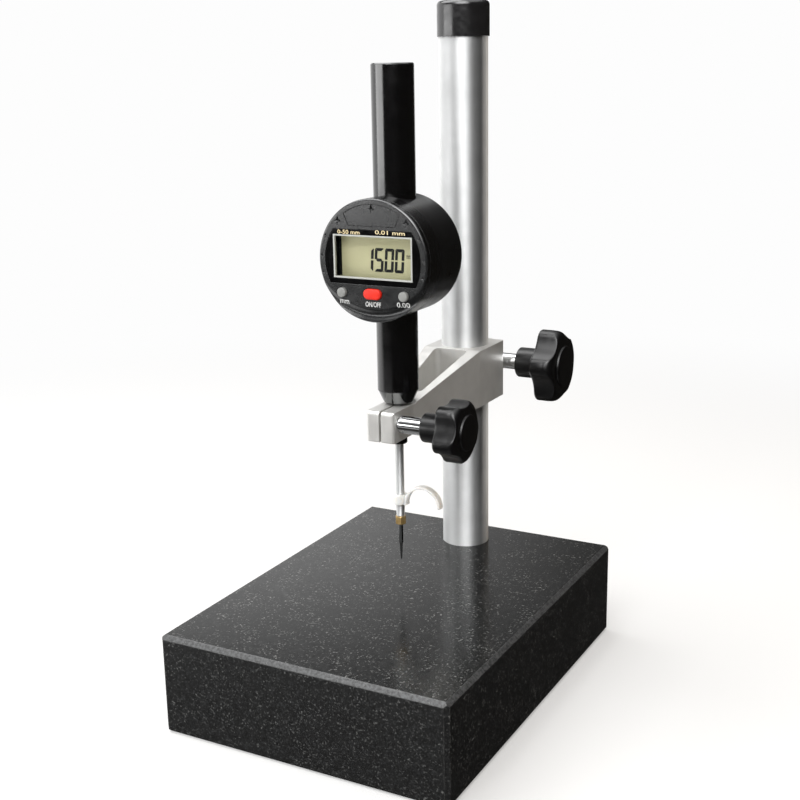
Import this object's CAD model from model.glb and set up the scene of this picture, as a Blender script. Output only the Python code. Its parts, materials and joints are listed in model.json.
"""Looks for a digital height gauge: an electronic plunger indicator clamped over a granite table.

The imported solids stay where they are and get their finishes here. Pieces whose real form is softer than
their solid, such as the star knobs, keys, lifting lever, chuck nut and screw heads, are replaced by surfaces
worked out with numpy, and the display's digits and the printed marks are added. All sizes are in
millimetres, in the part's own frame: X to the right of the dial, Y to the back, Z up from the underside.
"""

from __future__ import annotations

import json
import logging
import math
from dataclasses import dataclass
from enum import Enum
from functools import cache
from typing import Any, Sequence

import bpy
import numpy as np
from mathutils import Matrix

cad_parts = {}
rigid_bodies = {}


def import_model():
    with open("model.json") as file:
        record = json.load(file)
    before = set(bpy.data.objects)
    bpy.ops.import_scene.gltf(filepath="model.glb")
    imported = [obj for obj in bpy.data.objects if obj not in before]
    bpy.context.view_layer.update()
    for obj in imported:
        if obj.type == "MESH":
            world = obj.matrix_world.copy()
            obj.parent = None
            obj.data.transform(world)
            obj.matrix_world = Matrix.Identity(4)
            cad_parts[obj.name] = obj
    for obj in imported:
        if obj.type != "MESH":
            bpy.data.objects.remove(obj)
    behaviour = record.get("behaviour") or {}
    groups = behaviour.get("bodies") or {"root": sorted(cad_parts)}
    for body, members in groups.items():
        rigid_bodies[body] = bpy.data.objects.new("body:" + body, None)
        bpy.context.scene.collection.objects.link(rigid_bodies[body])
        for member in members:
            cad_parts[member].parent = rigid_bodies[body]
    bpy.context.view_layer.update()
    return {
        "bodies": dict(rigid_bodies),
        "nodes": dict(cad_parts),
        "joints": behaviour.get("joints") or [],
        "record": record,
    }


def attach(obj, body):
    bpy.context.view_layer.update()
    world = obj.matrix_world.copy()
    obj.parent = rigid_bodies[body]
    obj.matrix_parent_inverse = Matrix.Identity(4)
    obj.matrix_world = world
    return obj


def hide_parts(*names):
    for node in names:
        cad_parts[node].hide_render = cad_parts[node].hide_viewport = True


LOG = logging.getLogger("height_gauge")
MM = 0.001
TURN = 2 * math.pi
# Range that most of a noise value keeps to
PATCHES = (0.3, 0.7)
# Cosines between softened and flat normal where wear begins and is full, and the noise that breaks it up
WORN_EDGE, WORN_PATCH = (0.99, 0.9), (0.4, 0.62)
# Roughness that no swing goes under
SMOOTHEST = 0.02
# Height of a capital in Blender's own font, as a share of its size
CAPITAL = 0.69

Tree = bpy.types.NodeTree
Socket = bpy.types.NodeSocket
Colour = tuple[float, float, float, float]
Box = tuple[float, float, float, float]
Frame = dict[str, Any]
Span = tuple[float, float]
Point = tuple[float, float, float]


class Slot(Enum):
    """Finishes of the gauge, by the names of the record's material slots."""

    GRANITE = "granite"
    STEEL = "steel"
    STEEL_DARK = "steel_dark"
    STEM_STEEL = "stem_steel"
    CHROME = "chrome"
    BLASTED_ALUMINIUM = "blasted_aluminium"
    BLACK_PLASTIC = "black_plastic"
    CASE_PLASTIC = "case_plastic"
    FACE_PLASTIC = "face_plastic"
    WINDOW_BLACK = "window_black"
    BLACK_ENAMEL = "black_enamel"
    WHITE_PLASTIC = "white_plastic"
    MILKY_PLASTIC = "milky_plastic"
    LENS = "lens"
    LCD = "lcd"
    RUBBER = "rubber"
    BOARD = "board"
    BRASS = "brass"
    GREY_BUTTON = "grey_button"
    RED_BUTTON = "red_button"


class Extra(Enum):
    """Finishes with no slot of their own: printed or shown marks, and the vinyl of the column's cap."""

    WHITE_INK = "white_ink"
    GOLD_INK = "gold_ink"
    SEGMENT_INK = "segment_ink"
    CAP_VINYL = "cap_vinyl"


Look = Slot | Extra


class Bar(Enum):
    """Outlines of a display digit's bars: level at an end, level in the middle, or upright."""

    LEVEL = "level"
    MIDDLE = "middle"
    UPRIGHT = "upright"


class Segment(Enum):
    """Bars of one display digit: the outline, and how it is mirrored right or left and up or down."""

    TOP = (Bar.LEVEL, 1, 1)
    MIDDLE = (Bar.MIDDLE, 1, 1)
    BOTTOM = (Bar.LEVEL, 1, -1)
    UPPER_LEFT = (Bar.UPRIGHT, -1, 1)
    UPPER_RIGHT = (Bar.UPRIGHT, 1, 1)
    LOWER_LEFT = (Bar.UPRIGHT, -1, -1)
    LOWER_RIGHT = (Bar.UPRIGHT, 1, -1)


class Digit(Enum):
    """Bars that are dark in each digit that the display shows."""

    ONE = (Segment.UPPER_RIGHT, Segment.LOWER_RIGHT)
    FIVE = (Segment.TOP, Segment.UPPER_LEFT, Segment.MIDDLE, Segment.LOWER_RIGHT, Segment.BOTTOM)
    ZERO = (
        Segment.TOP, Segment.UPPER_LEFT, Segment.UPPER_RIGHT,
        Segment.LOWER_LEFT, Segment.LOWER_RIGHT, Segment.BOTTOM,
    )


def linear(code: str) -> Colour:
    """Turns an sRGB hex colour into linear values.

    Args:
        code: The colour, as "#rrggbb".

    Returns:
        Linear red, green and blue, and an alpha of one.
    """
    srgb = np.array([int(code[i:i + 2], 16) for i in (1, 3, 5)]) / 255
    value = np.where(srgb <= 0.04045, srgb / 12.92, ((srgb + 0.055) / 1.055) ** 2.4)
    return (*value.tolist(), 1.0)


def grey(level: float) -> Colour:
    """Gives an even grey light of a linear level."""
    return (level, level, level, 1.0)


def add(
    tree: Tree,
    kind: str,
    links: dict[str | int, Socket] | None = None,
    values: dict[str | int, Any] | None = None,
    **settings: Any,
) -> bpy.types.Node:
    """Adds one node with its settings and links.

    Args:
        tree: The tree that gets the node.
        kind: The node's type name, after the beginning that all share.
        links: Output sockets to link, by input.
        values: Constant values, by input.
        **settings: Attributes of the node itself.

    Returns:
        The new node.
    """
    node = tree.nodes.new(f"ShaderNode{kind}")
    for key, value in settings.items():
        setattr(node, key, value)
    for key, value in (values or {}).items():
        node.inputs[key].default_value = value
    for key, socket in (links or {}).items():
        tree.links.new(socket, node.inputs[key])
    return node


def mapped(tree: Tree, value: Socket, low: float, high: float, first: float = 0.0, last: float = 1.0,
           smooth: bool = False) -> Socket:
    """Takes a value between two marks to a range, and holds it at the range's ends beyond them.

    Args:
        tree: The tree that gets the node.
        value: The value.
        low: Mark where the range begins.
        high: Mark where it ends.
        first: First value of the range.
        last: Last value of the range.
        smooth: Whether the change is eased at both ends.

    Returns:
        The new value.
    """
    return add(
        tree, "MapRange", {"Value": value},
        {"From Min": low, "From Max": high, "To Min": first, "To Max": last},
        interpolation_type="SMOOTHSTEP" if smooth else "LINEAR",
    ).outputs["Result"]


def times(tree: Tree, a: Socket, b: Socket) -> Socket:
    """Multiplies two values."""
    return add(tree, "Math", {0: a, 1: b}, operation="MULTIPLY").outputs["Value"]


def mixed(tree: Tree, share: Socket, under: Socket | Colour, over: Socket | Colour) -> Socket:
    """Lays one colour over another by a share.

    Args:
        tree: The tree that gets the node.
        share: How much of the upper colour shows.
        under: The lower colour, as a socket or a constant.
        over: The upper colour.

    Returns:
        The mixed colour.
    """
    ends = {6: under, 7: over}
    values = {key: colour for key, colour in ends.items() if isinstance(colour, tuple)}
    links = {key: colour for key, colour in ends.items() if key not in values}
    return add(tree, "Mix", {0: share} | links, values, data_type="RGBA").outputs[2]


def crossed(tree: Tree, share: Socket, under: bpy.types.Node, over: bpy.types.Node) -> bpy.types.Node:
    """Mixes two shaders by the share of the second."""
    return add(tree, "MixShader", {0: share, 1: under.outputs[0], 2: over.outputs[0]})


def noise(tree: Tree, place: Socket, size_mm: float, detail: float = 2.0, output: str = "Fac") -> Socket:
    """Gives a soft random value whose patches have a real size.

    Args:
        tree: The tree that gets the node.
        place: The coordinates, in metres.
        size_mm: Size of one patch.
        detail: Octaves of finer noise in it.
        output: Which of the noise's outputs is given.

    Returns:
        The noise value.
    """
    values = {"Scale": 1 / (size_mm * MM), "Detail": detail}
    return add(tree, "TexNoise", {"Vector": place}, values).outputs[output]


def fresh_tree(owner: bpy.types.Material | bpy.types.World) -> Tree:
    """Gives the empty node tree of a new material or world."""
    owner.use_nodes = True
    owner.node_tree.nodes.clear()
    return owner.node_tree


def placed(name: str, data: bpy.types.ID) -> bpy.types.Object:
    """Puts a new object with its data into the scene."""
    obj = bpy.data.objects.new(name, data)
    bpy.context.scene.collection.objects.link(obj)
    return obj


def facing(tree: Tree, axis: str) -> Socket:
    """Gives how far the surface looks along an axis of the part, from -1 to 1."""
    normal = add(tree, "TexCoord").outputs["Normal"]
    return add(tree, "SeparateXYZ", {0: normal}).outputs[axis]


@dataclass(frozen=True)
class Finish:
    """A surface finish: its colour and gloss, and the patterns that break them up.

    The colour drifts towards a second one in soft patches, the gloss swings a little in other patches, a fine
    grain raises the surface, and edges may be softened and rubbed to another colour.
    """

    name: str
    colour: str
    roughness: float
    drift: str
    metallic: float = 0.0
    ior: float = 1.5
    drift_mm: float = 14.0
    swing: float = 0.05
    swing_mm: float = 6.0
    grain_mm: float = 0.9
    relief_mm: float = 0.01
    edge_mm: float = 0.3
    rubbed: str = ""
    rub_mm: float = 2.5
    constants: tuple[tuple[str, Any], ...] = ()

    def material(self) -> bpy.types.Material:
        """Builds the finish as a node material.

        Returns:
            The new material.
        """
        material = bpy.data.materials.new(self.name)
        tree = fresh_tree(material)
        place = add(tree, "TexCoord").outputs["Object"]
        soft = add(tree, "Bevel", values={"Radius": self.edge_mm * MM}, samples=4).outputs["Normal"]
        colour = self.colouring(tree, place)
        if self.rubbed:
            colour = self.rub(tree, place, soft, colour)
        bump = add(
            tree, "Bump",
            {"Height": self.relief(tree, place), "Normal": soft},
            {"Strength": 1.0, "Distance": self.relief_mm * MM},
        )
        shader = add(
            tree, "BsdfPrincipled",
            {"Base Color": colour, "Roughness": self.gloss(tree, place), "Normal": bump.outputs["Normal"]}
            | self.further(tree),
            {"Metallic": self.metallic, "IOR": self.ior} | dict(self.constants),
        )
        add(tree, "OutputMaterial", {"Surface": shader.outputs["BSDF"]})
        return material

    def colouring(self, tree: Tree, place: Socket) -> Socket:
        """Drifts the colour in soft patches."""
        share = mapped(tree, noise(tree, place, self.drift_mm), *PATCHES)
        return mixed(tree, share, linear(self.colour), linear(self.drift))

    def rub(self, tree: Tree, place: Socket, soft: Socket, colour: Socket) -> Socket:
        """Lays the rubbed colour in patches along edges, where the softened normal leaves the flat one.

        Args:
            tree: The material's tree.
            place: Object coordinates.
            soft: The softened normal.
            colour: The colour away from edges.

        Returns:
            The colour with worn edges.
        """
        flat = add(tree, "NewGeometry").outputs["Normal"]
        turn = add(tree, "VectorMath", {0: soft, 1: flat}, operation="DOT_PRODUCT").outputs["Value"]
        edge = mapped(tree, turn, *WORN_EDGE)
        patch = mapped(tree, noise(tree, place, self.rub_mm, 4.0), *WORN_PATCH)
        return mixed(tree, times(tree, edge, patch), colour, linear(self.rubbed))

    def gloss(self, tree: Tree, place: Socket) -> Socket:
        """Swings the roughness in patches about its middle value."""
        low, high = max(self.roughness - self.swing, SMOOTHEST), self.roughness + self.swing
        return mapped(tree, noise(tree, place, self.swing_mm, 3.0), *PATCHES, low, high)

    def relief(self, tree: Tree, place: Socket) -> Socket:
        """Gives the height of the fine grain."""
        return noise(tree, place, self.grain_mm, 3.0)

    def further(self, tree: Tree) -> dict[str | int, Socket]:
        """Gives further links of the shader; most finishes have none."""
        return {}


@dataclass(frozen=True)
class Granite(Finish):
    """Lapped black granite: dark crystals with pale feldspar flecks, smoother on top than on its sides."""

    crystal_mm: float = 0.8
    fleck_mm: float = 1.0
    crowd_mm: float = 9.0
    wobble_mm: float = 1.6
    wobble: float = 0.0012
    spot_mm: float = 1.3
    flecked: Span = (0.58, 0.74)
    crowded: Span = (0.36, 0.6)
    sparse: float = 0.25
    spotted: Span = (0.35, 0.65)
    spots: Span = (0.1, 0.8)
    lapped: Span = (0.6, 0.95)
    chamfer_near: float = 0.2
    side_flecks: float = 0.5
    side_roughness: float = 0.4
    sawn: str = "#555657"
    crystals: tuple[tuple[float, str], ...] = (
        (0.0, "#030303"), (0.5, "#080909"), (0.78, "#101112"), (0.92, "#1c1d1e"),
    )

    def colouring(self, tree: Tree, place: Socket) -> Socket:
        """Gives each crystal cell one of a few greys, and adds pale flecks that crowd in places.

        Args:
            tree: The material's tree.
            place: Object coordinates.

        Returns:
            The colour.
        """
        bent = add(
            tree, "Mix", {4: place, 5: noise(tree, place, self.wobble_mm, output="Color")},
            {0: self.wobble}, data_type="VECTOR",
        ).outputs[1]
        cells = add(tree, "TexVoronoi", {"Vector": bent}, {"Scale": 1 / (self.crystal_mm * MM)})
        pick = add(tree, "SeparateColor", {0: cells.outputs["Color"]}).outputs["Red"]
        ramp = add(tree, "ValToRGB", {"Fac": pick})
        ramp.color_ramp.interpolation = "CONSTANT"
        while len(ramp.color_ramp.elements) < len(self.crystals):
            ramp.color_ramp.elements.new(0.5)
        for element, (at, code) in zip(ramp.color_ramp.elements, self.crystals):
            element.position = at
            element.color = linear(code)
        fleck = mapped(tree, noise(tree, bent, self.fleck_mm, 3.0), *self.flecked)
        crowd = mapped(tree, noise(tree, place, self.crowd_mm, 3.0), *self.crowded, self.sparse)
        # Flecks stay duller on the sides, which aren't lapped
        up = mapped(tree, facing(tree, "Z"), *self.lapped, self.side_flecks, 1.0)
        share = times(tree, times(tree, fleck, crowd), up)
        stone = mixed(tree, share, ramp.outputs["Color"], linear(self.drift))
        # The chamfer round the top, at 45 degrees, is ground and not lapped, so it stays pale and spotted
        chamfer = add(
            tree, "Math", {0: facing(tree, "Z")}, {1: math.sqrt(0.5), 2: self.chamfer_near},
            operation="COMPARE",
        ).outputs["Value"]
        spots = mapped(tree, noise(tree, place, self.spot_mm, 3.0), *self.spotted, *self.spots)
        return mixed(tree, times(tree, chamfer, spots), stone, linear(self.sawn))

    def gloss(self, tree: Tree, place: Socket) -> Socket:
        """Makes faces that look up smoother than the sawn sides."""
        links = {
            0: Finish.gloss(self, tree, place),
            1: mapped(tree, facing(tree, "Z"), *self.lapped, self.side_roughness, 0.0),
        }
        return add(tree, "Math", links, operation="ADD").outputs["Value"]


@dataclass(frozen=True)
class Turned(Finish):
    """Metal turned or ground round an axis along Z: fine marks run round the piece and draw gloss along it.

    Where the surface turns away from the eye, the marks may scatter light as a pale haze.
    """

    mark_mm: float = 0.5
    stretch: float = 0.02
    haze: float = 0.0
    faded: Span = (0.3, 0.7)

    def relief(self, tree: Tree, place: Socket) -> Socket:
        """Gives the height of the turning marks: noise that hardly varies round the piece."""
        scale = {"Scale": (self.stretch, self.stretch, 1.0)}
        flat = add(tree, "Mapping", {"Vector": place}, scale).outputs["Vector"]
        return noise(tree, flat, self.mark_mm, 4.0)

    def further(self, tree: Tree) -> dict[str | int, Socket]:
        """Turns the gloss to follow the marks, and lets metal fade into haze where it turns away.

        Args:
            tree: The material's tree.

        Returns:
            Links of the shader.
        """
        away = add(tree, "LayerWeight", values={"Blend": 0.5}).outputs["Facing"]
        metal = mapped(tree, away, *self.faded, self.metallic, self.metallic * (1 - self.haze))
        tangent = add(tree, "Tangent", direction_type="RADIAL", axis="Z").outputs["Tangent"]
        return {"Tangent": tangent, "Metallic": metal}


@dataclass(frozen=True)
class Laminate(Finish):
    """Glass-epoxy circuit board: green lacquer over a lattice of thin copper tracks."""

    track_mm: float = 2.54
    track: str = "#3f7d4f"
    joint: float = 0.02

    def colouring(self, tree: Tree, place: Socket) -> Socket:
        """Lays brick joints as tracks over the green lacquer; a brick is a quarter of the texture's unit.

        Args:
            tree: The material's tree.
            place: Object coordinates.

        Returns:
            The colour.
        """
        upright = add(
            tree, "Mapping", {"Vector": place}, {"Rotation": (math.pi / 2, 0.0, 0.0)}
        ).outputs["Vector"]
        return add(
            tree, "TexBrick", {"Vector": upright},
            {
                "Color1": linear(self.colour), "Color2": linear(self.drift), "Mortar": linear(self.track),
                "Scale": 0.25 / (self.track_mm * MM), "Mortar Size": self.joint,
            },
        ).outputs["Color"]


@dataclass(frozen=True)
class TwoTone(Finish):
    """Moulding whose front, along -Y, is spark-eroded and grey, and whose side is smooth and black."""

    side: str = "#070708"
    side_roughness: float = 0.24
    front_y: Span = (-0.3, -0.55)

    def front(self, tree: Tree) -> Socket:
        """Gives one where the surface looks to the front, and nothing on the side."""
        return mapped(tree, facing(tree, "Y"), *self.front_y)

    def colouring(self, tree: Tree, place: Socket) -> Socket:
        """Lays the drifting grey on the front alone."""
        return mixed(tree, self.front(tree), linear(self.side), Finish.colouring(self, tree, place))

    def gloss(self, tree: Tree, place: Socket) -> Socket:
        """Makes the side smoother than the front."""
        links = {0: self.front(tree), 3: Finish.gloss(self, tree, place)}
        return add(tree, "Mix", links, {2: self.side_roughness}).outputs[0]


FINISHES: dict[Look, Finish] = {
    # Black granite, lapped on top and sawn on its sides: deep black with a grey sheen and fine pale flecks
    Slot.GRANITE: Granite(
        "lapped_black_granite", "#131415", 0.17, "#848583", ior=1.6, swing=0.04, swing_mm=3.0, grain_mm=1.2,
        edge_mm=0.8, rubbed="#4a4b4a",
    ),
    # Hard-chromed column steel, ground and buffed: a soft sheen in bands along the axis.
    # Real grinding marks are about 0.02 mm apart; they are drawn at 0.5 mm so that they show.
    Slot.STEEL: Turned(
        "ground_chromed_steel", "#d8d9d9", 0.62, "#cecfcf", metallic=1.0, swing=0.03, relief_mm=0.0006,
        edge_mm=0.25, constants=(("Anisotropic", 0.82), ("Anisotropic Rotation", 0.25)), haze=1.0,
    ),
    # Blackened screw steel: oil-black with brown patches and bare bright edges
    Slot.STEEL_DARK: Finish(
        "blackened_screw_steel", "#5b5a58", 0.42, "#47433f", metallic=1.0, drift_mm=3.0, relief_mm=0.006,
        edge_mm=0.2, rubbed="#a5a3a0",
    ),
    # Plain ground stem steel: darker than the column, with fine rings
    Slot.STEM_STEEL: Turned(
        "ground_stem_steel", "#585959", 0.15, "#4e4f4f", metallic=1.0, relief_mm=0.0004, edge_mm=0.15,
    ),
    # Bright nickel-chrome plating on the clamp screws: almost a mirror, with faint haze
    Slot.CHROME: Finish(
        "bright_chrome_plate", "#d9dadb", 0.12, "#cfd0d1", metallic=1.0, swing=0.04, grain_mm=2.0,
        relief_mm=0.002,
    ),
    # Bead-blasted and clear-anodised cast aluminium: an even silvery matt with a fine sparkle.
    # Real bead pits are about 0.1 mm; they are drawn at 0.8 mm so that they show.
    Slot.BLASTED_ALUMINIUM: Finish(
        "bead_blasted_aluminium", "#e4e3e0", 0.42, "#dad9d6", metallic=0.7, drift_mm=9.0, swing=0.06,
        grain_mm=0.8, relief_mm=0.012, edge_mm=0.5, rubbed="#ecebe8",
    ),
    # Black phenolic of the knobs: satin, a little waxy
    Slot.BLACK_PLASTIC: Finish(
        "moulded_black_phenolic", "#060607", 0.33, "#0a0a0b", drift_mm=7.0, grain_mm=1.6, relief_mm=0.003,
        edge_mm=0.4,
    ),
    # Dipped black vinyl of the column's cap: greyer and glossier than the knobs
    Extra.CAP_VINYL: Finish(
        "dipped_black_vinyl", "#181819", 0.21, "#1d1d1e", ior=1.75, drift_mm=6.0, swing=0.06, swing_mm=3.0,
        grain_mm=1.4, edge_mm=0.5,
    ),
    # Black ABS of the drum behind the face: moulded smooth, half gloss
    Slot.CASE_PLASTIC: Finish(
        "moulded_black_abs", "#0a0a0b", 0.32, "#0e0e0f", ior=1.54, drift_mm=9.0, relief_mm=0.012, edge_mm=0.4,
    ),
    # Charcoal ABS of the face: spark-eroded texture, about 0.1 mm in truth and drawn at 0.7 mm
    Slot.FACE_PLASTIC: TwoTone(
        "textured_charcoal_abs", "#161718", 0.25, "#1b1c1d", ior=1.7, drift_mm=8.0, swing=0.06, grain_mm=0.7,
        relief_mm=0.02, edge_mm=0.25, rubbed="#2c2d2e",
    ),
    # Polished black acrylic round the display: deep black that mirrors softly, with faint wipe haze
    Slot.WINDOW_BLACK: Finish(
        "polished_black_acrylic", "#060607", 0.08, "#0a0a0b", ior=1.49, drift_mm=10.0, grain_mm=3.0,
        relief_mm=0.003, edge_mm=0.25,
    ),
    # Black gloss enamel on the barrels: wet-looking, with a slight orange peel of about 2 mm
    Slot.BLACK_ENAMEL: Finish(
        "black_gloss_enamel", "#040405", 0.17, "#070708", ior=1.75, drift_mm=12.0, swing=0.03, grain_mm=2.2,
        relief_mm=0.004,
    ),
    # White polystyrene of the display's frame: half matt, a little dulled
    Slot.WHITE_PLASTIC: Finish(
        "moulded_white_styrene", "#b4b6b2", 0.4, "#acaeaa", ior=1.59, drift_mm=5.0, grain_mm=0.8,
        relief_mm=0.008, edge_mm=0.15,
    ),
    # Natural nylon of the lifting lever: milky, lit from within
    Slot.MILKY_PLASTIC: Finish(
        "natural_nylon", "#f0efec", 0.38, "#e6e5e0", ior=1.53, drift_mm=4.0, grain_mm=0.8, relief_mm=0.008,
        edge_mm=0.2, constants=(
            ("Subsurface Weight", 0.6), ("Subsurface Radius", (1.0, 0.9, 0.8)), ("Subsurface Scale", 0.002),
        ),
    ),
    # Clear acrylic lens in front of the digits: seen only by its gloss
    Slot.LENS: Finish(
        "clear_acrylic_lens", "#050606", 0.06, "#080909", ior=1.49, swing=0.03, grain_mm=4.0, relief_mm=0.001,
        edge_mm=0.1, constants=(("Alpha", 0.1),),
    ),
    # Reflective liquid-crystal glass: pale olive, with the grain of its paper-like reflector
    Slot.LCD: Finish(
        "reflective_lcd_glass", "#d9d6ab", 0.42, "#d3d1a4", ior=1.52, drift_mm=18.0, grain_mm=0.6,
        relief_mm=0.004, edge_mm=0.1,
    ),
    # Silicone rubber of the contact strips: dull and dark
    Slot.RUBBER: Finish("silicone_rubber", "#2a2a2b", 0.7, "#353536", ior=1.41, drift_mm=2.0, edge_mm=0.1),
    # Glass-epoxy board under green lacquer
    Slot.BOARD: Laminate(
        "glass_epoxy_board", "#1d4a2d", 0.38, "#225434", ior=1.55, relief_mm=0.006, edge_mm=0.1,
    ),
    # Turned brass: warm, with fine rings and browner patches
    Slot.BRASS: Turned(
        "turned_brass", "#cdb07a", 0.36, "#b5965f", metallic=0.7, drift_mm=2.5, relief_mm=0.0006,
        edge_mm=0.15,
    ),
    # Grey ABS keys: moulded matt
    Slot.GREY_BUTTON: Finish(
        "moulded_grey_abs", "#8b8c8a", 0.42, "#818280", ior=1.54, drift_mm=2.0, grain_mm=0.6, edge_mm=0.2,
    ),
    # Signal-red ABS key: about as matt as the grey ones
    Slot.RED_BUTTON: Finish(
        "moulded_red_abs", "#e6270e", 0.45, "#d6200a", ior=1.45, drift_mm=3.0, grain_mm=0.6, relief_mm=0.008,
        edge_mm=0.25,
    ),
    # White pad-printing ink: chalky, a little uneven
    Extra.WHITE_INK: Finish(
        "white_pad_print", "#d9dad9", 0.5, "#c4c5c5", drift_mm=0.8, grain_mm=0.4, relief_mm=0.004,
        edge_mm=0.05,
    ),
    # Gold pad-printing ink: metal flakes in lacquer
    Extra.GOLD_INK: Finish(
        "gold_pad_print", "#ecdcb4", 0.4, "#dcc694", metallic=0.15, drift_mm=0.8, grain_mm=0.4,
        relief_mm=0.004, edge_mm=0.05,
    ),
    # Dark liquid-crystal segments: near black with a green cast
    Extra.SEGMENT_INK: Finish(
        "dark_lcd_segments", "#060a0a", 0.4, "#0a0f0f", ior=1.52, drift_mm=4.0, grain_mm=0.5, relief_mm=0.002,
        edge_mm=0.05,
    ),
}


@cache
def material_of(look: Look) -> bpy.types.Material:
    """Gives the material of a finish, built on first use."""
    return FINISHES[look].material()


@dataclass
class Shell:
    """A mesh in the making: points in millimetres and index arrays of its faces."""

    points: np.ndarray
    faces: list[np.ndarray]

    @staticmethod
    def from_rings(rings: np.ndarray, start: np.ndarray | None = None, end: np.ndarray | None = None,
                   loop: bool = False) -> Shell:
        """Skins rings of points: quads join each ring to the next, and a pole closes either end by triangles.

        Args:
            rings: Points, shaped (rings, points of a ring, 3).
            start: Pole before the first ring.
            end: Pole after the last ring.
            loop: Whether the last ring joins the first instead.

        Returns:
            The closed shell, its faces outwards.
        """
        count, around = rings.shape[:2]
        i = np.arange(count if loop else count - 1)[:, None]
        j = np.arange(around)[None, :]
        k = (j + 1) % around
        below, above = i * around, (i + 1) % count * around
        faces = [np.stack([below + j, below + k, above + k, above + j], -1).reshape(-1, 4)]
        points = [rings.reshape(-1, 3)]
        j, k = j[0], k[0]
        size = count * around
        if start is not None:
            faces.append(np.stack([np.full(around, size), k, j], -1))
            points.append(start[None])
            size += 1
        if end is not None:
            last = (count - 1) * around
            faces.append(np.stack([np.full(around, size), last + j, last + k], -1))
            points.append(end[None])
        return Shell(np.concatenate(points), faces).outward()

    def outward(self) -> Shell:
        """Turns all faces round if the volume that they enclose counts as negative.

        Returns:
            The shell itself or its turned copy.
        """
        volume = 0.0
        for face in self.faces:
            a = self.points[face[:, 0]]
            for n in range(1, face.shape[1] - 1):
                b, c = self.points[face[:, n]], self.points[face[:, n + 1]]
                volume += float(np.einsum("ij,ij->", a, np.cross(b, c)))
        return self if volume >= 0 else Shell(self.points, [face[:, ::-1] for face in self.faces])

    def joined(self, other: Shell) -> Shell:
        """Puts another shell into the same mesh."""
        moved = [face + len(self.points) for face in other.faces]
        return Shell(np.concatenate([self.points, other.points]), self.faces + moved)

    def rows(self) -> list[list[int]]:
        """Lists the points of each face."""
        return [row for face in self.faces for row in face.tolist()]

    def piece(self, name: str, body: str, finish: Look, stands_for: Sequence[str] = (),
              slot: Slot | None = None, crease_deg: float = 50.0) -> bpy.types.Object:
        """Makes the shell an object of the scene that rides on a body.

        Args:
            name: The object's name.
            body: The body that carries it.
            finish: What it is dressed in.
            stands_for: CAD nodes that it replaces.
            slot: The record's slot, where the finish is an ink.
            crease_deg: Angle above which an edge stays sharp.

        Returns:
            The object.
        """
        mesh = bpy.data.meshes.new(name)
        mesh.from_pydata((self.points * MM).tolist(), [], self.rows())
        mesh.polygons.foreach_set("use_smooth", np.ones(len(mesh.polygons), dtype=bool))
        mesh.set_sharp_from_angle(angle=math.radians(crease_deg))
        mesh.materials.append(material_of(finish))
        obj = placed(name, mesh)
        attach(obj, body)
        if stands_for:
            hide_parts(*stands_for)
        LOG.info("%s: %d faces on body %s", name, len(mesh.polygons), body)
        return obj


def soft_min(a: np.ndarray, b: np.ndarray, blend: float) -> np.ndarray:
    """Gives the lesser of two lengths with the corner between them rounded over a width.

    It is half of a + b less the root of (a - b) squared plus the width squared.
    """
    return 0.5 * (a + b - np.sqrt((a - b) ** 2 + blend ** 2))


def arc(centre: Span, radius: float, start_deg: float, end_deg: float, count: int) -> np.ndarray:
    """Gives points on an arc: the centre plus the radius times cosine and sine of evenly spaced angles."""
    angle = np.radians(np.linspace(start_deg, end_deg, count))
    return np.stack([centre[0] + radius * np.cos(angle), centre[1] + radius * np.sin(angle)], -1)


def turned_rings(profile: np.ndarray, origin: Sequence[float], axis: Sequence[float], first: Sequence[float],
                 radii: np.ndarray | None = None, around: int = 96) -> np.ndarray:
    """Carries a profile of distances along an axis round that axis.

    A point of ring k at angle t is the origin plus the axis times the profile's distance, plus the radius
    times cosine t along the first cross direction and sine t along the second, which is axis x first.

    Args:
        profile: Pairs of distance along the axis and radius.
        origin: Where the distance is zero.
        axis: Direction of the axis.
        first: Direction of angle zero.
        radii: Radii by ring and angle, where they differ round a ring.
        around: Points of a ring, where radii isn't given.

    Returns:
        Points, shaped (rings, points of a ring, 3).
    """
    axis, first = np.asarray(axis, float), np.asarray(first, float)
    second = np.cross(axis, first)
    if radii is None:
        radii = np.repeat(profile[:, 1:2], around, axis=1)
    angle = np.arange(radii.shape[1]) * TURN / radii.shape[1]
    spoke = np.cos(angle)[:, None] * first + np.sin(angle)[:, None] * second
    return np.asarray(origin, float) + profile[:, :1, None] * axis + radii[:, :, None] * spoke


def dress(frame: Frame, names: Sequence[str]) -> None:
    """Gives CAD nodes that stay the finish of their own slot.

    Args:
        frame: The loaded frame.
        names: The nodes.
    """
    for name in names:
        materials = frame["nodes"][name].data.materials
        for i, old in enumerate(materials):
            materials[i] = material_of(Slot(old.name.split(".")[0]))
        LOG.info("%s: dressed CAD node", name)


@dataclass
class Stand:
    """Granite table and column, with the bolt from below and the cap on top."""

    nodes: tuple[str, ...] = ("granite_base", "column", "column_cap", "column_bolt", "column_washer")

    def build(self, frame: Frame) -> None:
        """Dresses the stand's solids, the cap in vinyl."""
        dress(frame, self.nodes)
        frame["nodes"]["column_cap"].data.materials[0] = material_of(Extra.CAP_VINYL)


@dataclass
class Arm:
    """Cast arm with its two clamp screws; the knobs are pieces of their own."""

    nodes: tuple[str, ...] = ("arm_bracket", "column_screw", "stem_screw")

    def build(self, frame: Frame) -> None:
        """Dresses the arm's solids."""
        dress(frame, self.nodes)


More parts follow.
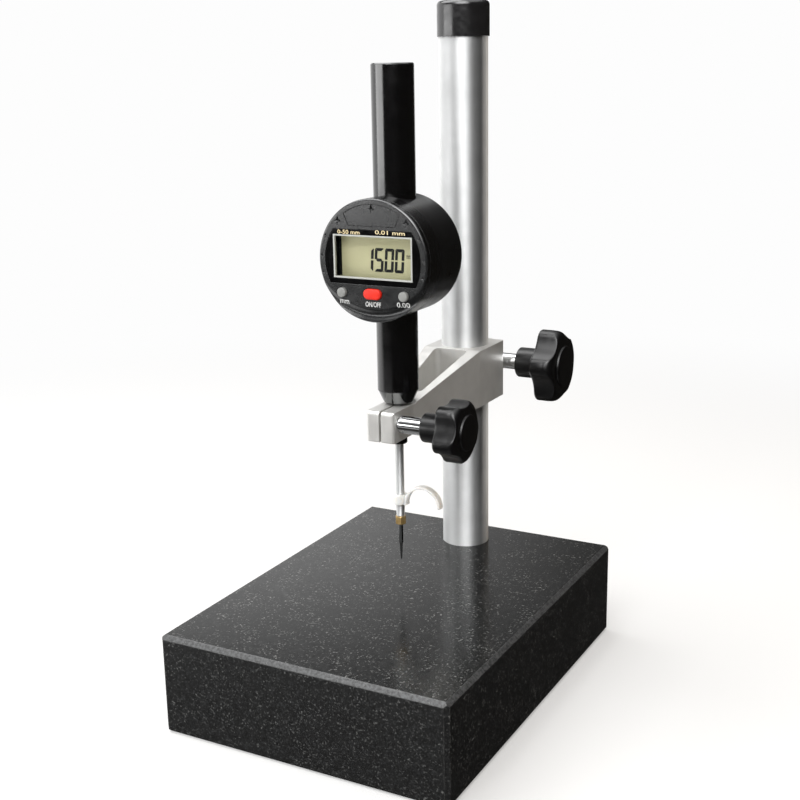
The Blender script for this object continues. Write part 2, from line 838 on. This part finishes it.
@dataclass
class StarKnob:
    """Five-lobed hand knob on a clamp screw along X: round hub, lobed head and a raised disc on its face."""

    node: str
    body: str
    diameter: float
    hub_d: float
    hub_start: float
    hub_len: float
    head: float
    axis_y: float
    axis_z: float
    angle_deg: float
    lobes: int = 5
    tip_share: float = 0.15
    hollow_share: float = 0.4
    bevel_share: float = 0.15
    wall_from: float = 0.5
    wall_to: float = 1.8
    rim_first: Span = (1.7, 0.6)
    rim_pull: Span = (0.12, 0.3)
    rim_share: float = 0.74
    face_share: float = 0.65
    disc_share: float = 0.55
    disc_fillet: float = 0.4
    disc_edge: float = 0.5
    disc_crown: float = 0.1
    crown_marks: tuple[Span, ...] = ((0.04, 0.35), (0.01, 0.15))
    rim_soft: float = 0.5
    hub_edge: float = 0.8
    root: float = 1.0
    edge: float = 1.3
    boss: float = 1.2
    socket: float = 5.05
    shank_d: float = 8.6
    around: int = 400

    def outline(self) -> np.ndarray:
        """Gives the star's radius by angle.

        A lobe is a circle near the rim, and a hollow is a circle outside the star that touches two lobes. The
        radius at an angle is where the ray from the centre leaves the lobe's circle, or, past the point where
        both touch, where it meets the near side of the hollow's circle.

        Returns:
            Radii for evenly spaced angles from the knob's own zero.
        """
        tip = self.tip_share * self.diameter
        reach = self.diameter / 2 - tip
        hollow = self.hollow_share * self.diameter
        step = math.pi / self.lobes
        drop = reach * math.cos(step)
        dish = (tip ** 2 - reach ** 2 - hollow ** 2 + 2 * drop * hollow) / (2 * (hollow - drop - tip))
        centre = hollow + dish
        bend = math.atan2(centre * math.sin(step), centre * math.cos(step) - reach)
        touch = math.atan2(tip * math.sin(bend), reach + tip * math.cos(bend))
        angle = np.arange(self.around) * TURN / self.around - math.radians(self.angle_deg)
        fold = np.abs((angle + step) % (2 * step) - step)
        on_lobe = reach * np.cos(fold) + np.sqrt(np.maximum(tip ** 2 - (reach * np.sin(fold)) ** 2, 0))
        rest = step - fold
        in_dish = centre * np.cos(rest) - np.sqrt(np.maximum(dish ** 2 - (centre * np.sin(rest)) ** 2, 0))
        return np.where(fold < touch, on_lobe, in_dish)

    def build(self, frame: Frame) -> None:
        """Builds the knob: its profile along X, each ring bounded by the star's outline.

        The head's rim is a curve of three points: a first one on the wall, one that pulls it to the corner,
        and a last one on the face. The first two are given in bevels behind the face, and then past the rim
        in millimetres or inside it in bevels. Marks of the disc's crown are its fall and a share of the
        radius.

        Args:
            frame: The loaded frame.
        """
        r, hub_r, root, edge = self.diameter / 2, self.hub_d / 2, self.root, self.edge
        back, front = self.hub_len, self.hub_len + self.head
        top = front + self.boss
        bevel = self.bevel_share * r
        socket_r = self.shank_d / 2
        round_hub = np.concatenate([
            [[self.socket, socket_r], [0.0, socket_r]],
            arc((self.hub_edge, hub_r - self.hub_edge), self.hub_edge, 180, 90, 6),
            [[0.5 * back, hub_r]],
            arc((back - root, hub_r + root), root, 270, 360, 6),
        ])
        t = np.linspace(0, 1, 22)[:, None]
        (behind, past), (near, inside) = self.rim_first, self.rim_pull
        first, pull = [front - behind * bevel, r + past], [front - near * bevel, r - inside * bevel]
        rim = (1 - t) ** 2 * first + 2 * t * (1 - t) * pull + t ** 2 * [front, self.rim_share * r]
        disc_r, fillet, corner = self.disc_share * r, self.disc_fillet, self.disc_edge
        disc = np.concatenate([
            [[front, self.face_share * r], [front, disc_r + fillet]],
            arc((front + fillet, disc_r + fillet), fillet, 180, 270, 4)[1:],
            arc((top - (self.disc_crown + corner), disc_r - corner), corner, 90, 0, 5),
            [[top - fall, share * r] for fall, share in self.crown_marks],
        ])
        star = self.outline()
        spread = np.linspace(0.25, 1, 5)[:, None]
        foot = hub_r + root + spread * (star - edge - hub_r - root)
        quarter = np.radians(np.linspace(0, 90, 7))[1:, None]
        turn_up = star - edge + edge * np.sin(quarter)
        wall = np.repeat(star[None], 3, axis=0)
        radii = np.concatenate([
            np.repeat(round_hub[:, 1:], self.around, axis=1), foot, turn_up, wall,
            soft_min(np.repeat(star[None], len(rim), axis=0), rim[:, 1:], self.rim_soft),
            np.repeat(disc[:, 1:], self.around, axis=1),
        ])
        along = np.concatenate([
            round_hub[:, 0], np.full(len(foot), back), back + edge * (1 - np.cos(quarter[:, 0])),
            np.linspace(back + edge + self.wall_from, front - self.wall_to * bevel, len(wall)),
            rim[:, 0], disc[:, 0],
        ])
        origin = np.array([self.hub_start, self.axis_y, self.axis_z])
        rings = turned_rings(np.stack([along, along], -1), origin, (1, 0, 0), (0, 0, -1), radii)
        shell = Shell.from_rings(rings, origin + [self.socket, 0, 0], origin + [top, 0, 0])
        shell.piece(f"{self.node}_grip", self.body, Slot.BLACK_PLASTIC, [self.node])


@dataclass
class FaceKey:
    """Push key in the face: a round or long button with a soft crown, and the flange that keeps it in."""

    node: str
    body: str
    finish: Slot
    centre: Span
    width: float
    length: float
    dial_z: float
    back: float = 17.4
    flange: Span = (19.4, 20.4)
    flange_over: float = 0.8
    top: float = 24.5
    crown: float = 0.18
    soft: float = 0.5
    around: int = 96

    def build(self, frame: Frame) -> None:
        """Builds the key from rings that are its outline grown or shrunk.

        The outline at an angle is a circle of half the width, moved out to the right or left by half of what
        the length exceeds the width. Rings follow a profile of depth and growth from the back to the crown.

        Args:
            frame: The loaded frame.
        """
        low, high = self.flange
        over, half, soft = self.flange_over, self.width / 2, self.soft
        crown = arc((self.top - self.crown - soft, -soft), soft, 90, 0, 7)
        inner = np.linspace(0.75, 0.15, 5)
        dome = np.stack([self.top - self.crown * inner ** 2, inner * (half - soft) - half], -1)
        profile = np.concatenate([
            [[self.back, -half * 0.6], [self.back, 0.0], [low, 0.0], [low, over], [high, over], [high, 0.0]],
            crown, dome,
        ])
        angle = np.arange(self.around) * TURN / self.around
        shift = np.sign(np.round(np.cos(angle), 9)) * (self.length - self.width) / 2
        radius = half + profile[:, 1:]
        # The straight part of a long key shrinks with the crown, so that its top closes in one point
        keep = np.clip(radius / half, 0.0, 1.0)
        u = self.centre[0] + keep * shift + radius * np.cos(angle)
        v = self.centre[1] + radius * np.sin(angle)
        rings = np.stack([u, np.broadcast_to(-profile[:, :1], u.shape), self.dial_z + v], -1)
        middle = np.array([self.centre[0], 0.0, self.dial_z + self.centre[1]])
        shell = Shell.from_rings(rings, middle - [0, self.back, 0], middle - [0, self.top, 0])
        shell.piece(f"{self.node}_cap", self.body, self.finish, [self.node], crease_deg=60)


@dataclass
class IndicatorCase:
    """Barrels and dial case with display, printed marks and the screws of the back cover.

    Depths count to the front from the stem's axis. A mark's box is its middle on the dial, right and up, its
    width and the height of a capital. The border is the left, right, bottom and top of a strip on the dial.
    """

    dial_z: float = 218.4
    face: float = 22.7
    window: float = 22.65
    lcd: float = 17.2
    shown_over: float = 0.03
    digit_w: float = 3.4
    digit_h: float = 9.65
    digit_pitch: float = 5.36
    stroke: float = 1.42
    corner: float = 0.6
    point: float = 0.5
    border: Box = (-21.4, -19.3, -8.2, 13.8)
    bar_gap: float = 0.03
    waist_gap: float = 0.6
    last_digit: float = 11.35
    slant: float = 0.066
    reading: tuple[Digit, ...] = (Digit.ONE, Digit.FIVE, Digit.ZERO, Digit.ZERO)
    decimals: int = 2
    unit_sign: Box = (16.0, 2.1, 2.1, 2.4)
    face_marks: tuple[tuple[str, str, Box], ...] = (
        ("unit_mark", "mm", (-15.6, -19.6, 5.6, 2.7)),
        ("power_mark", "ON/OFF", (0.1, -19.9, 8.2, 2.3)),
        ("zero_mark", "0.00", (15.6, -19.2, 6.2, 2.3)),
    )
    window_marks: tuple[tuple[str, str, Box], ...] = (
        ("range_mark", "0-50 mm", (-12.2, 13.0, 11.8, 1.8)),
        ("step_mark", "0.01 mm", (9.5, 13.5, 15.4, 1.8)),
    )
    bold: float = 0.012
    white_over: float = 0.05
    gold_over: float = 0.02
    cove_rise: float = 12.0
    cove_r: float = 33.65
    cove_w: float = 6.9
    cove_depth: float = 1.3
    screw_out: float = 17.218
    screw_head_d: float = 4.4
    screw_d: float = 2.4
    screw_top: float = -13.9
    screw_seat: float = -12.8
    screw_len: float = 5.5
    head_crown: float = 0.22
    head_edge: float = 0.34
    screw_point: float = 0.4
    recess: float = 0.6
    cross_half: float = 0.42
    cross_reach: float = 0.62
    cross_fade: Span = (0.12, 0.15)
    nodes: tuple[str, ...] = (
        "rear_case", "back_cover", "front_case", "battery_cover", "battery", "battery_contact", "window_mask",
        "display_frame", "display_lens", "lcd_panel", "zebra_strips", "circuit_board", "switches",
        "upper_barrel", "barrel_plug", "lower_barrel", "stem", "lower_bush", "upper_bush", "guide_rod",
        "return_spring",
    )

    def on_face(self, flat: np.ndarray, depth: float) -> np.ndarray:
        """Puts points drawn on the dial, right and up, into the part's frame at a depth."""
        return np.stack([flat[:, 0], np.full(len(flat), -depth), self.dial_z + flat[:, 1]], -1)

    def digits(self) -> None:
        """Draws the reading, and the glass's dark border where the camera looks behind the window's edge.

        Each bar is a strip whose ends are cut at 45 degrees, and digits lean a little: an outline is drawn
        for the upper right of a digit and mirrored for the other bars, and a point at height v moves right
        by slant times v.
        """
        s, w, h = self.stroke / 2, self.digit_w / 2, self.digit_h / 2
        gap, waist, cut = self.bar_gap, self.waist_gap / 2, self.corner
        inner, outer, top, low = w - s, w + s, h + s, h - s
        ends = {
            Bar.LEVEL: np.array([
                [cut - outer, top], [outer - cut, top], [outer - cut / 2 - gap, top - cut / 2],
                [inner - gap, low], [gap - inner, low], [gap + cut / 2 - outer, top - cut / 2],
            ]),
            Bar.MIDDLE: np.array([
                [-inner, s], [inner, s], [w - gap, 0], [inner, -s], [-inner, -s], [gap - w, 0],
            ]),
            Bar.UPRIGHT: np.array([
                [outer, waist], [inner, waist], [inner, low - gap], [outer - cut / 2, top - cut / 2 - gap],
                [outer, top - cut],
            ]),
        }
        first = self.last_digit - (len(self.reading) - 1) * self.digit_pitch
        middle = self.last_digit + (0.5 - self.decimals) * self.digit_pitch
        square = np.array([[-1, 1], [1, 1], [1, -1], [-1, -1]])
        drawn = [self.point / 2 * square + [middle, self.point / 2 - top]]
        for i, digit in enumerate(self.reading):
            for bar, right, up in (segment.value for segment in digit.value):
                # A mirrored outline runs the other way round, as the upright one does, and is read backwards
                turn = right * up * (-1 if bar is Bar.UPRIGHT else 1)
                drawn.append((ends[bar] * [right, up])[::turn] + [first + i * self.digit_pitch, 0.0])
        flat = np.concatenate(drawn)
        flat[:, 0] += self.slant * flat[:, 1]
        left, right, bottom, high = self.border
        drawn.append(np.array([[left, high], [right, high], [right, bottom], [left, bottom]]))
        flat = np.concatenate([flat, drawn[-1]])
        starts = np.cumsum([0] + [len(part) for part in drawn])
        faces = [np.arange(a, b)[None] for a, b in zip(starts[:-1], starts[1:])]
        Shell(self.on_face(flat, self.lcd + self.shown_over), faces).piece(
            "display_digits", "indicator", Extra.SEGMENT_INK, slot=Slot.LCD
        )

    def cove(self, flat: np.ndarray) -> np.ndarray:
        """Gives how deep the face sinks under points drawn on it.

        The cove begins on a circle whose centre lies above the dial's, and follows one cosine wave outwards.
        """
        past = np.hypot(flat[:, 0], flat[:, 1] - self.cove_rise) - self.cove_r
        return self.cove_depth * (1 - np.cos(TURN * np.clip(past / self.cove_w, 0, 1))) / 2

    def words(self, name: str, text: str, box: Box, depth: float, ink: Extra, slot: Slot) -> None:
        """Prints a short mark: the letters' flat mesh, fitted to a box and laid on the surface behind it.

        Each triangle is parted into 64 first, so that letters follow the face's cove.

        Args:
            name: The piece's name.
            text: What it says.
            box: Middle of the mark on the dial, right and up, its width and the height of a capital.
            depth: Distance in front of the stem's axis.
            ink: The finish.
            slot: The record's slot.
        """
        curve = bpy.data.curves.new(name, "FONT")
        curve.body, curve.resolution_u, curve.offset = text, 3, self.bold
        drawn = placed(name, curve)
        bpy.context.view_layer.update()
        mesh = bpy.data.meshes.new_from_object(drawn.evaluated_get(bpy.context.evaluated_depsgraph_get()))
        bpy.data.objects.remove(drawn)
        mesh.calc_loop_triangles()
        flat = np.zeros(3 * len(mesh.vertices))
        mesh.vertices.foreach_get("co", flat)
        corners = np.zeros(3 * len(mesh.loop_triangles), dtype=int)
        mesh.loop_triangles.foreach_get("vertices", corners)
        bpy.data.meshes.remove(mesh)
        flat = flat.reshape(-1, 3)[:, :2]
        span = flat.max(0) - flat.min(0)
        scale = np.array([box[2] / span[0], box[3] / CAPITAL])
        flat = (flat - (flat.min(0) + flat.max(0)) / 2) * scale + box[:2]
        part = flat[corners.reshape(-1, 3)]
        for _ in range(3):
            a, b, c = part[:, 0], part[:, 1], part[:, 2]
            ab, bc, ca = (a + b) / 2, (b + c) / 2, (c + a) / 2
            fours = ((a, ab, ca), (ab, b, bc), (ca, bc, c), (ab, bc, ca))
            part = np.concatenate([np.stack(three, 1) for three in fours])
        flat, index = np.unique(np.round(part.reshape(-1, 2), 5), axis=0, return_inverse=True)
        points = self.on_face(flat, depth)
        if slot is Slot.FACE_PLASTIC:
            points[:, 1] += self.cove(flat)
        Shell(points, [index.reshape(-1, 3)]).piece(name, "indicator", ink, slot=slot)

    def screws(self) -> None:
        """Builds the four cover screws: a low pan head with a cross recess, and its shank.

        Rings run from the head's middle outwards and down the side to the shank's end. The head's top sinks
        where the angle is near one of the cross's arms and the radius is inside them.
        """
        head_r, shank_r, around = self.screw_head_d / 2, self.screw_d / 2, 96
        tip = self.screw_seat + self.screw_len
        r = np.linspace(0.12, 0.94, 16)[:, None] * head_r
        angle = np.arange(around)[None] * TURN / around
        arm = np.minimum(np.abs(r * np.cos(angle)), np.abs(r * np.sin(angle)))
        across, along = self.cross_fade
        sunk = np.clip((self.cross_half - arm) / across, 0, 1)
        sunk = sunk * np.clip((self.cross_reach * head_r - r) / along, 0, 1)
        top = self.screw_top + self.head_crown * (r / head_r) ** 2 + self.recess * sunk
        side = np.array([
            [self.screw_top + self.head_edge, head_r], [self.screw_seat, head_r], [self.screw_seat, shank_r],
            [tip - self.screw_point, shank_r], [tip, 0.5 * shank_r],
        ])
        depth = np.concatenate([top, np.repeat(side[:, :1], around, axis=1)])
        radius = np.concatenate([np.repeat(r, around, axis=1), np.repeat(side[:, 1:], around, axis=1)])
        total: Shell | None = None
        for u in (-self.screw_out, self.screw_out):
            for v in (-self.screw_out, self.screw_out):
                z = self.dial_z + v
                rings = np.stack([u + radius * np.cos(angle), -depth, z + radius * np.sin(angle)], -1)
                start = np.array([u, -(self.screw_top + self.recess), z])
                shell = Shell.from_rings(rings, start, np.array([u, -tip, z]))
                total = shell if total is None else total.joined(shell)
        total.piece("cover_screw_set", "indicator", Slot.STEEL_DARK, ["cover_screws"], crease_deg=35)

    def build(self, frame: Frame) -> None:
        """Dresses the case, and adds reading, marks and screws.

        Args:
            frame: The loaded frame.
        """
        dress(frame, self.nodes)
        self.digits()
        shown = self.lcd + self.shown_over
        self.words("unit_sign", "mm", self.unit_sign, shown, Extra.SEGMENT_INK, Slot.LCD)
        for mark in self.face_marks:
            self.words(*mark, self.face + self.white_over, Extra.WHITE_INK, Slot.FACE_PLASTIC)
        for mark in self.window_marks:
            self.words(*mark, self.window + self.gold_over, Extra.GOLD_INK, Slot.WINDOW_BLACK)
        self.screws()


@dataclass
class Plunger:
    """Spindle with its scale, the lifting lever, the chuck nut and the contact point."""

    spindle_bore: float = 4.3
    ring_z: float = 94.5
    ring_h: float = 5.0
    ring_r: float = 3.6
    ring_edge: float = 0.4
    arch_x: float = 12.8
    arch_z: float = 95.2
    arch_r: float = 9.2
    arch_t: float = 1.4
    arch_w: float = 4.0
    arch_least: float = 0.02
    arch_power: float = 2 / 5
    arch_steps: int = 72
    arch_around: int = 40
    nut_z: float = 84.0
    nut_h: float = 4.0
    nut_flats: float = 5.0
    nut_bore: float = 2.3
    nut_soft: float = 0.08
    nut_fine: float = 0.5
    nut_around: int = 144
    nodes: tuple[str, ...] = ("spindle", "scale_carrier", "scale_strip", "spring_seat", "contact_point")

    def lever(self) -> None:
        """Builds the lever: a rounded collar, and a flat strip carried along half a circle beside it.

        The strip's section is a superellipse of the strip's thickness and width, whose size falls to nothing
        in a quarter circle over the last stretch of the path, so that its free end is round.
        """
        bore, out, high, edge = self.spindle_bore / 2, self.ring_r, self.ring_h, self.ring_edge
        collar = np.concatenate([
            [[0.0, bore]], arc((edge, out - edge), edge, 180, 90, 5),
            arc((high - edge, out - edge), edge, 90, 0, 5), [[high, bore]],
        ])
        ring = Shell.from_rings(
            turned_rings(collar, (0, 0, self.ring_z), (0, 0, 1), (1, 0, 0)), loop=True
        )
        low = math.degrees(math.asin(self.arch_t / 2 / self.arch_r))
        path = np.radians(np.linspace(180 + low, -low, self.arch_steps))
        length = self.arch_r * np.abs(path - path[-1])
        end = np.clip(length / (self.arch_t / 2), 0, 1)
        size = np.sqrt(np.maximum(1 - (1 - end) ** 2, self.arch_least))[:, None]
        angle = np.arange(self.arch_around)[None] * TURN / self.arch_around
        power = self.arch_power
        out_by = size * self.arch_t / 2 * np.sign(np.cos(angle)) * np.abs(np.cos(angle)) ** power
        across = size * self.arch_w / 2 * np.sign(np.sin(angle)) * np.abs(np.sin(angle)) ** power
        radius = self.arch_r + out_by
        spot = np.array([self.arch_x, 0.0, self.arch_z])
        rings = spot + np.stack([
            radius * np.cos(path)[:, None], across, radius * np.sin(path)[:, None]
        ], -1)
        arch = Shell.from_rings(rings, rings[0].mean(0), rings[-1].mean(0))
        ring.joined(arch).piece("lifting_lever", "plunger", Slot.MILKY_PLASTIC, ["lift_lever"])

    def nut(self) -> None:
        """Builds the chuck nut: six flats whose corners are cut by cones at both ends.

        The radius at an angle is half the flats over the cosine of the angle from the nearest flat's middle,
        bounded by a cone that narrows towards each end.
        """
        angle = np.arange(self.nut_around) * TURN / self.nut_around
        # Corners of the solid lie along X, so flats are met half a step round
        fold = (angle % (math.pi / 3)) - math.pi / 6
        flats = self.nut_flats / 2 / np.cos(fold)
        fine = self.nut_fine
        rise = np.concatenate([
            np.linspace(0, fine, 5), np.linspace(2 * fine, self.nut_h - 2 * fine, 3),
            np.linspace(self.nut_h - fine, self.nut_h, 5),
        ])
        cone = self.nut_flats / 2 + np.minimum(rise, self.nut_h - rise)
        outer = soft_min(np.repeat(flats[None], len(rise), axis=0), cone[:, None], self.nut_soft)
        bore = np.full((2, len(angle)), self.nut_bore / 2)
        along = np.concatenate([rise, [self.nut_h, 0.0]])
        rings = turned_rings(
            np.stack([along, along], -1), (0, 0, self.nut_z), (0, 0, 1), (1, 0, 0),
            np.concatenate([outer, bore]),
        )
        Shell.from_rings(rings, loop=True).piece(
            "chuck_nut_turned", "plunger", Slot.BRASS, ["chuck_nut"], crease_deg=30
        )

    def build(self, frame: Frame) -> None:
        """Dresses the spindle's solids and builds lever and nut.

        Args:
            frame: The loaded frame.
        """
        dress(frame, self.nodes)
        self.lever()
        self.nut()


@dataclass
class Lamp:
    """Soft box: a flat rectangle of even light, aimed at a point."""

    name: str
    place: Point
    width: float
    height: float
    watts: float
    aim: Point = (0.0, 0.03, 0.2)

    def build(self) -> None:
        """Hangs the lamp, its width level."""
        data = bpy.data.lights.new(self.name, "AREA")
        data.shape = "RECTANGLE"
        data.size, data.size_y = self.width, self.height
        data.energy = self.watts
        back = np.subtract(self.place, self.aim)
        back = back / np.linalg.norm(back)
        # The nudge along Y keeps a right side for a lamp straight above its aim
        right = np.cross((0.0, 1e-6, 1.0), back)
        right = right / np.linalg.norm(right)
        rows = np.stack([right, np.cross(back, right), back, self.place], -1).tolist()
        placed(self.name, data).matrix_world = Matrix((*rows, (0.0, 0.0, 0.0, 1.0)))


@dataclass(frozen=True)
class Sheet:
    """Pale part of the floor that metal mirrors: a sector about an azimuth between two distances in metres.

    Low and high are cosines of the angle from the azimuth where the sector begins and where it is full.
    """

    axis_deg: float
    low: float
    high: float
    begins: float
    ends: float
    level: float


@dataclass
class Studio:
    """Pale floor, soft light and camera. Metal mirrors a white wall on its left and a dim room on its right.

    Metres are used here, apart from the camera's place. A light comes up between the two values of a span:
    cosines of the angle from an azimuth for a lean, and heights of a direction for a rise.
    """

    lens_mm: float = 56.776
    sensor_mm: float = 36.0
    clip: float = 0.01
    eye_mm: Point = (284.750, -520.779, 304.027)
    right: Point = (0.880098, 0.474448, -0.018053)
    down: Point = (0.105647, -0.232761, -0.966779)
    ahead: Point = (-0.462889, 0.848953, -0.254977)
    floor_r: float = 12.0
    floor_hub: float = 0.02
    floor_rings: tuple[int, int] = (24, 96)
    near_r: float = 0.3
    far_r: float = 0.9
    near_white: float = 0.35
    white: str = "#fdfdfd"
    paper: str = "#f4f4f3"
    sheet_edge: float = 0.1
    sheets: tuple[Sheet, ...] = (
        Sheet(-175.0, 0.82, 0.96, 0.0, 0.72, 1.25),
        Sheet(-125.0, 0.8, 0.95, 0.35, 0.62, 0.55),
    )
    white_deg: float = 160.0
    dim: str = "#2b2926"
    wall: float = 1.25
    wall_lean: Span = (0.57, 0.87)
    panel_deg: float = -70.0
    panel: float = 4.4
    panel_lean: Span = (0.79, 0.985)
    panel_rise: Span = (0.1, 0.3)
    over_wall: float = 0.1
    over_wall_rise: Span = (0.37, 0.47)
    ceiling: float = 1.5
    ceiling_rise: Span = (0.55, 0.85)
    fill: float = 0.45
    warm_deg: float = 30.0
    warm: Colour = (0.3, 0.23, 0.16, 1.0)
    warm_lean: Span = (0.0, 0.8)
    lamps: tuple[Lamp, ...] = (
        Lamp("left_box", (-0.66, -0.59, 0.265), 0.73, 0.24, 2.5),
        Lamp("eye_box", (0.28, -0.78, 1.05), 1.0, 0.5, 10.0),
        Lamp("top_box", (-0.5, -0.02, 1.1), 1.0, 1.0, 11.0, (0.0, 0.05, 0.1)),
    )

    def camera(self) -> None:
        """Sets the camera at the photograph's viewpoint."""
        data = bpy.data.cameras.new("camera")
        data.lens, data.sensor_width, data.clip_start = self.lens_mm, self.sensor_mm, self.clip
        obj = placed("camera", data)
        rows = [(self.right[i], -self.down[i], -self.ahead[i], self.eye_mm[i] * MM) for i in range(3)]
        obj.matrix_world = Matrix((*rows, (0.0, 0.0, 0.0, 1.0)))
        bpy.context.scene.camera = obj

    def lean(self, tree: Tree, way: Socket, axis_deg: float, low: float, high: float) -> Socket:
        """Gives how far a direction leans towards an azimuth, smoothly from nothing to one.

        Args:
            tree: The tree that gets the nodes.
            way: A direction or a place, from the gauge.
            axis_deg: The azimuth.
            low: Cosine of the angle from it where the share begins.
            high: Cosine of the angle where it is full.

        Returns:
            The share.
        """
        kind, turn = "VectorMath", math.radians(axis_deg)
        axis = (math.cos(turn), math.sin(turn), 0.0)
        level = add(tree, kind, {0: way}, {1: (1.0, 1.0, 0.0)}, operation="MULTIPLY").outputs[0]
        level = add(tree, kind, {0: level}, operation="NORMALIZE").outputs[0]
        along = add(tree, kind, {0: level}, {1: axis}, operation="DOT_PRODUCT").outputs["Value"]
        return mapped(tree, along, low, high, smooth=True)

    def side_light(self, tree: Tree, way: Socket) -> Socket:
        """Gives what metal mirrors at a level: a white wall to the left, and a dark room to the right."""
        share = self.lean(tree, way, self.white_deg, *self.wall_lean)
        return mixed(tree, share, linear(self.dim), grey(self.wall))

    def seen(self, tree: Tree) -> tuple[Socket, Socket]:
        """Tells rays that see the background from rays that mirror it.

        Args:
            tree: The tree that gets the nodes.

        Returns:
            One for camera and transmission rays, and one for glossy rays.
        """
        path = add(tree, "LightPath").outputs
        straight = {0: path["Is Camera Ray"], 1: path["Is Transmission Ray"]}
        through = add(tree, "Math", straight, operation="MAXIMUM").outputs["Value"]
        return through, path["Is Glossy Ray"]

    def world(self) -> None:
        """Lights the room, shows white behind the gauge, and gives metal its two sides and a panel ahead."""
        world = bpy.data.worlds.new("studio")
        bpy.context.scene.world = world
        tree = fresh_tree(world)
        through, mirrored = self.seen(tree)
        way = add(tree, "TexCoord").outputs["Generated"]
        up = add(tree, "SeparateXYZ", {0: way}).outputs["Z"]
        room = self.side_light(tree, way)
        for rise, level in ((self.over_wall_rise, self.over_wall), (self.ceiling_rise, self.ceiling)):
            room = mixed(tree, mapped(tree, up, *rise, smooth=True), room, grey(level))
        sector = self.lean(tree, way, self.panel_deg, *self.panel_lean)
        ahead = times(tree, sector, mapped(tree, up, *self.panel_rise, smooth=True))
        room = mixed(tree, ahead, room, grey(self.panel))
        sector = self.lean(tree, way, self.warm_deg, *self.warm_lean)
        around = mixed(tree, sector, grey(self.fill), self.warm)
        even = add(tree, "Background", {"Color": around})
        sides = add(tree, "Background", {"Color": room})
        white = add(tree, "Background", values={"Color": linear(self.white)})
        mix = crossed(tree, through, crossed(tree, mirrored, even, sides), white)
        add(tree, "OutputWorld", {"Surface": mix.outputs[0]})

    def floor(self) -> None:
        """Lays a round floor that takes the gauge's shadow and runs into the white background.

        Its points are rings whose radius grows by a constant factor. Near the gauge most of its light is the
        room's, and further out it is plain white. Metal mirrors it as pale sheets on a darker ground.
        """
        count, around = self.floor_rings
        radius = np.geomspace(self.floor_hub, self.floor_r, count)[:, None]
        angle = np.arange(around) * TURN / around
        rings = np.stack([radius * np.cos(angle), radius * np.sin(angle), np.zeros((count, around))], -1)
        shell = Shell.from_rings(rings, np.zeros(3))
        mesh = bpy.data.meshes.new("floor")
        mesh.from_pydata(shell.points.tolist(), [], shell.rows())
        if mesh.polygons[0].normal.z < 0:
            mesh.flip_normals()
        material = bpy.data.materials.new("matt_white_floor")
        tree = fresh_tree(material)
        place = add(tree, "TexCoord").outputs["Object"]
        through, mirrored = self.seen(tree)
        far = add(tree, "VectorMath", {0: place}, operation="LENGTH").outputs["Value"]
        shown = times(
            tree, mapped(tree, far, self.near_r, self.far_r, self.near_white, 1.0, smooth=True), through
        )
        below = self.side_light(tree, place)
        edge = self.sheet_edge
        for sheet in self.sheets:
            near = mapped(tree, far, sheet.begins - edge, sheet.begins + edge, smooth=True)
            ring = times(tree, near, mapped(tree, far, sheet.ends + edge, sheet.ends - edge, smooth=True))
            sector = self.lean(tree, place, sheet.axis_deg, sheet.low, sheet.high)
            below = mixed(tree, times(tree, sector, ring), below, grey(sheet.level))
        lit = add(tree, "BsdfDiffuse", values={"Color": linear(self.paper)})
        white = add(tree, "Emission", values={"Color": linear(self.white)})
        sides = add(tree, "Emission", {"Color": below})
        mix = crossed(tree, mirrored, crossed(tree, shown, lit, white), sides)
        add(tree, "OutputMaterial", {"Surface": mix.outputs[0]})
        mesh.materials.append(material)
        obj = placed("floor", mesh)

    def build(self) -> None:
        """Sets up camera, world, floor and lamps."""
        self.camera()
        self.world()
        self.floor()
        for lamp in self.lamps:
            lamp.build()
        bpy.context.scene.view_settings.view_transform = "Standard"


def main() -> None:
    """Builds the gauge's sub-assemblies in order, then the studio."""
    logging.basicConfig(level=logging.INFO, format="%(name)s %(message)s")
    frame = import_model()
    dial_z = IndicatorCase.dial_z
    assemblies: tuple[Any, ...] = (
        Stand(),
        Arm(),
        StarKnob(
            "column_knob", "column_clamp", diameter=39.5, hub_d=16.195, hub_start=22.0, hub_len=13.0,
            head=12.5, axis_y=98.1, axis_z=147.8, angle_deg=46.0,
        ),
        StarKnob(
            "stem_knob", "stem_clamp", diameter=31.0, hub_d=14.105, hub_start=21.0, hub_len=10.5,
            head=11.5, axis_y=-12.8, axis_z=139.6, angle_deg=74.0,
        ),
        IndicatorCase(),
        FaceKey("unit_button", "unit_key", Slot.GREY_BUTTON, (-16.2, -15.1), 4.5, 4.5, dial_z),
        FaceKey("power_button", "power_key", Slot.RED_BUTTON, (0.0, -15.1), 4.9, 9.2, dial_z, soft=0.9),
        FaceKey("zero_button", "zero_key", Slot.GREY_BUTTON, (16.2, -15.1), 4.5, 4.5, dial_z),
        Plunger(),
    )
    for assembly in assemblies:
        LOG.info("building %s", type(assembly).__name__)
        assembly.build(frame)
    Studio().build()


if __name__ == "__main__":
    main()
